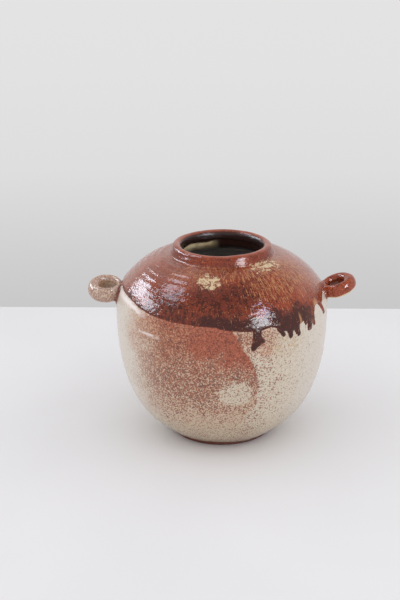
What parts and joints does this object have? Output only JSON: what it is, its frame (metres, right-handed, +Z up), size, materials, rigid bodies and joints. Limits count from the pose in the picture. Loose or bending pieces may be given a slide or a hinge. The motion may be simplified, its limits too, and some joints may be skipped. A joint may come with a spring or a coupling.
{
  "type": "stoneware jar",
  "caption": "Small open stoneware jar with a round glazed body, a short collared neck with a rounded lip, and a loop on each shoulder for a cord.",
  "frame": {"origin": "centre of the foot on the surface that the jar stands on", "axes": "+Z up the throwing axis, +X towards the loop that rises outwards"},
  "size_m": [0.1904, 0.15, 0.1394],
  "materials": {
    "stoneware_clay": "matte",
    "bare_foot_clay": "matte",
    "slip_weld": "gloss",
    "liner_glaze": "gloss",
    "brown_glaze": "gloss",
    "oatmeal_glaze": "gloss"
  },
  "bodies": {
    "root": {"body_shell": "stoneware_clay", "foot_ring": "bare_foot_clay", "neck_collar": "stoneware_clay", "loop_left": "stoneware_clay", "loop_right": "stoneware_clay", "loop_left_weld": "slip_weld", "loop_right_weld": "slip_weld", "liner_glaze": "liner_glaze", "shoulder_glaze": "brown_glaze", "belly_glaze": "oatmeal_glaze", "loop_left_glaze": "oatmeal_glaze", "loop_right_glaze": "brown_glaze"}
  },
  "joints": []
}
